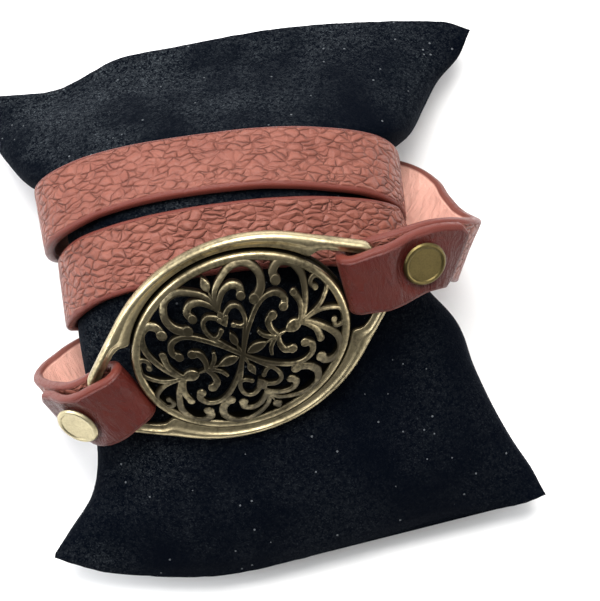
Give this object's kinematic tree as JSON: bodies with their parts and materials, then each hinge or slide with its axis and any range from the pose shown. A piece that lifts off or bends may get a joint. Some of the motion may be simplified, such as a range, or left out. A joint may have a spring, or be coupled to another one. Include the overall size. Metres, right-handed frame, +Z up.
{
  "type": "leather wrap bracelet on a display pillow",
  "caption": "Long pebbled leather strap wound round a velvet display pillow, its folded ends joined in front by a pierced oval scrollwork ornament and flat round caps.",
  "frame": {"origin": "centre of the underside of the bounding box, where the pillow rests", "axes": "+Z up, +X along the strap's rows to the viewer's right, +Y from the foot seam to the head seam of the pillow"},
  "size_m": [0.11, 0.1174, 0.0559],
  "materials": {
    "velvet": "black velvet with a soft sheen",
    "leather": "pebbled terracotta leather",
    "antique_brass": "antique brass with dark recesses"
  },
  "bodies": {
    "root": {"display_pillow": "velvet", "strap": "leather", "ornament": "antique_brass", "rivet_left": "antique_brass", "snap_right": "antique_brass"}
  },
  "joints": []
}
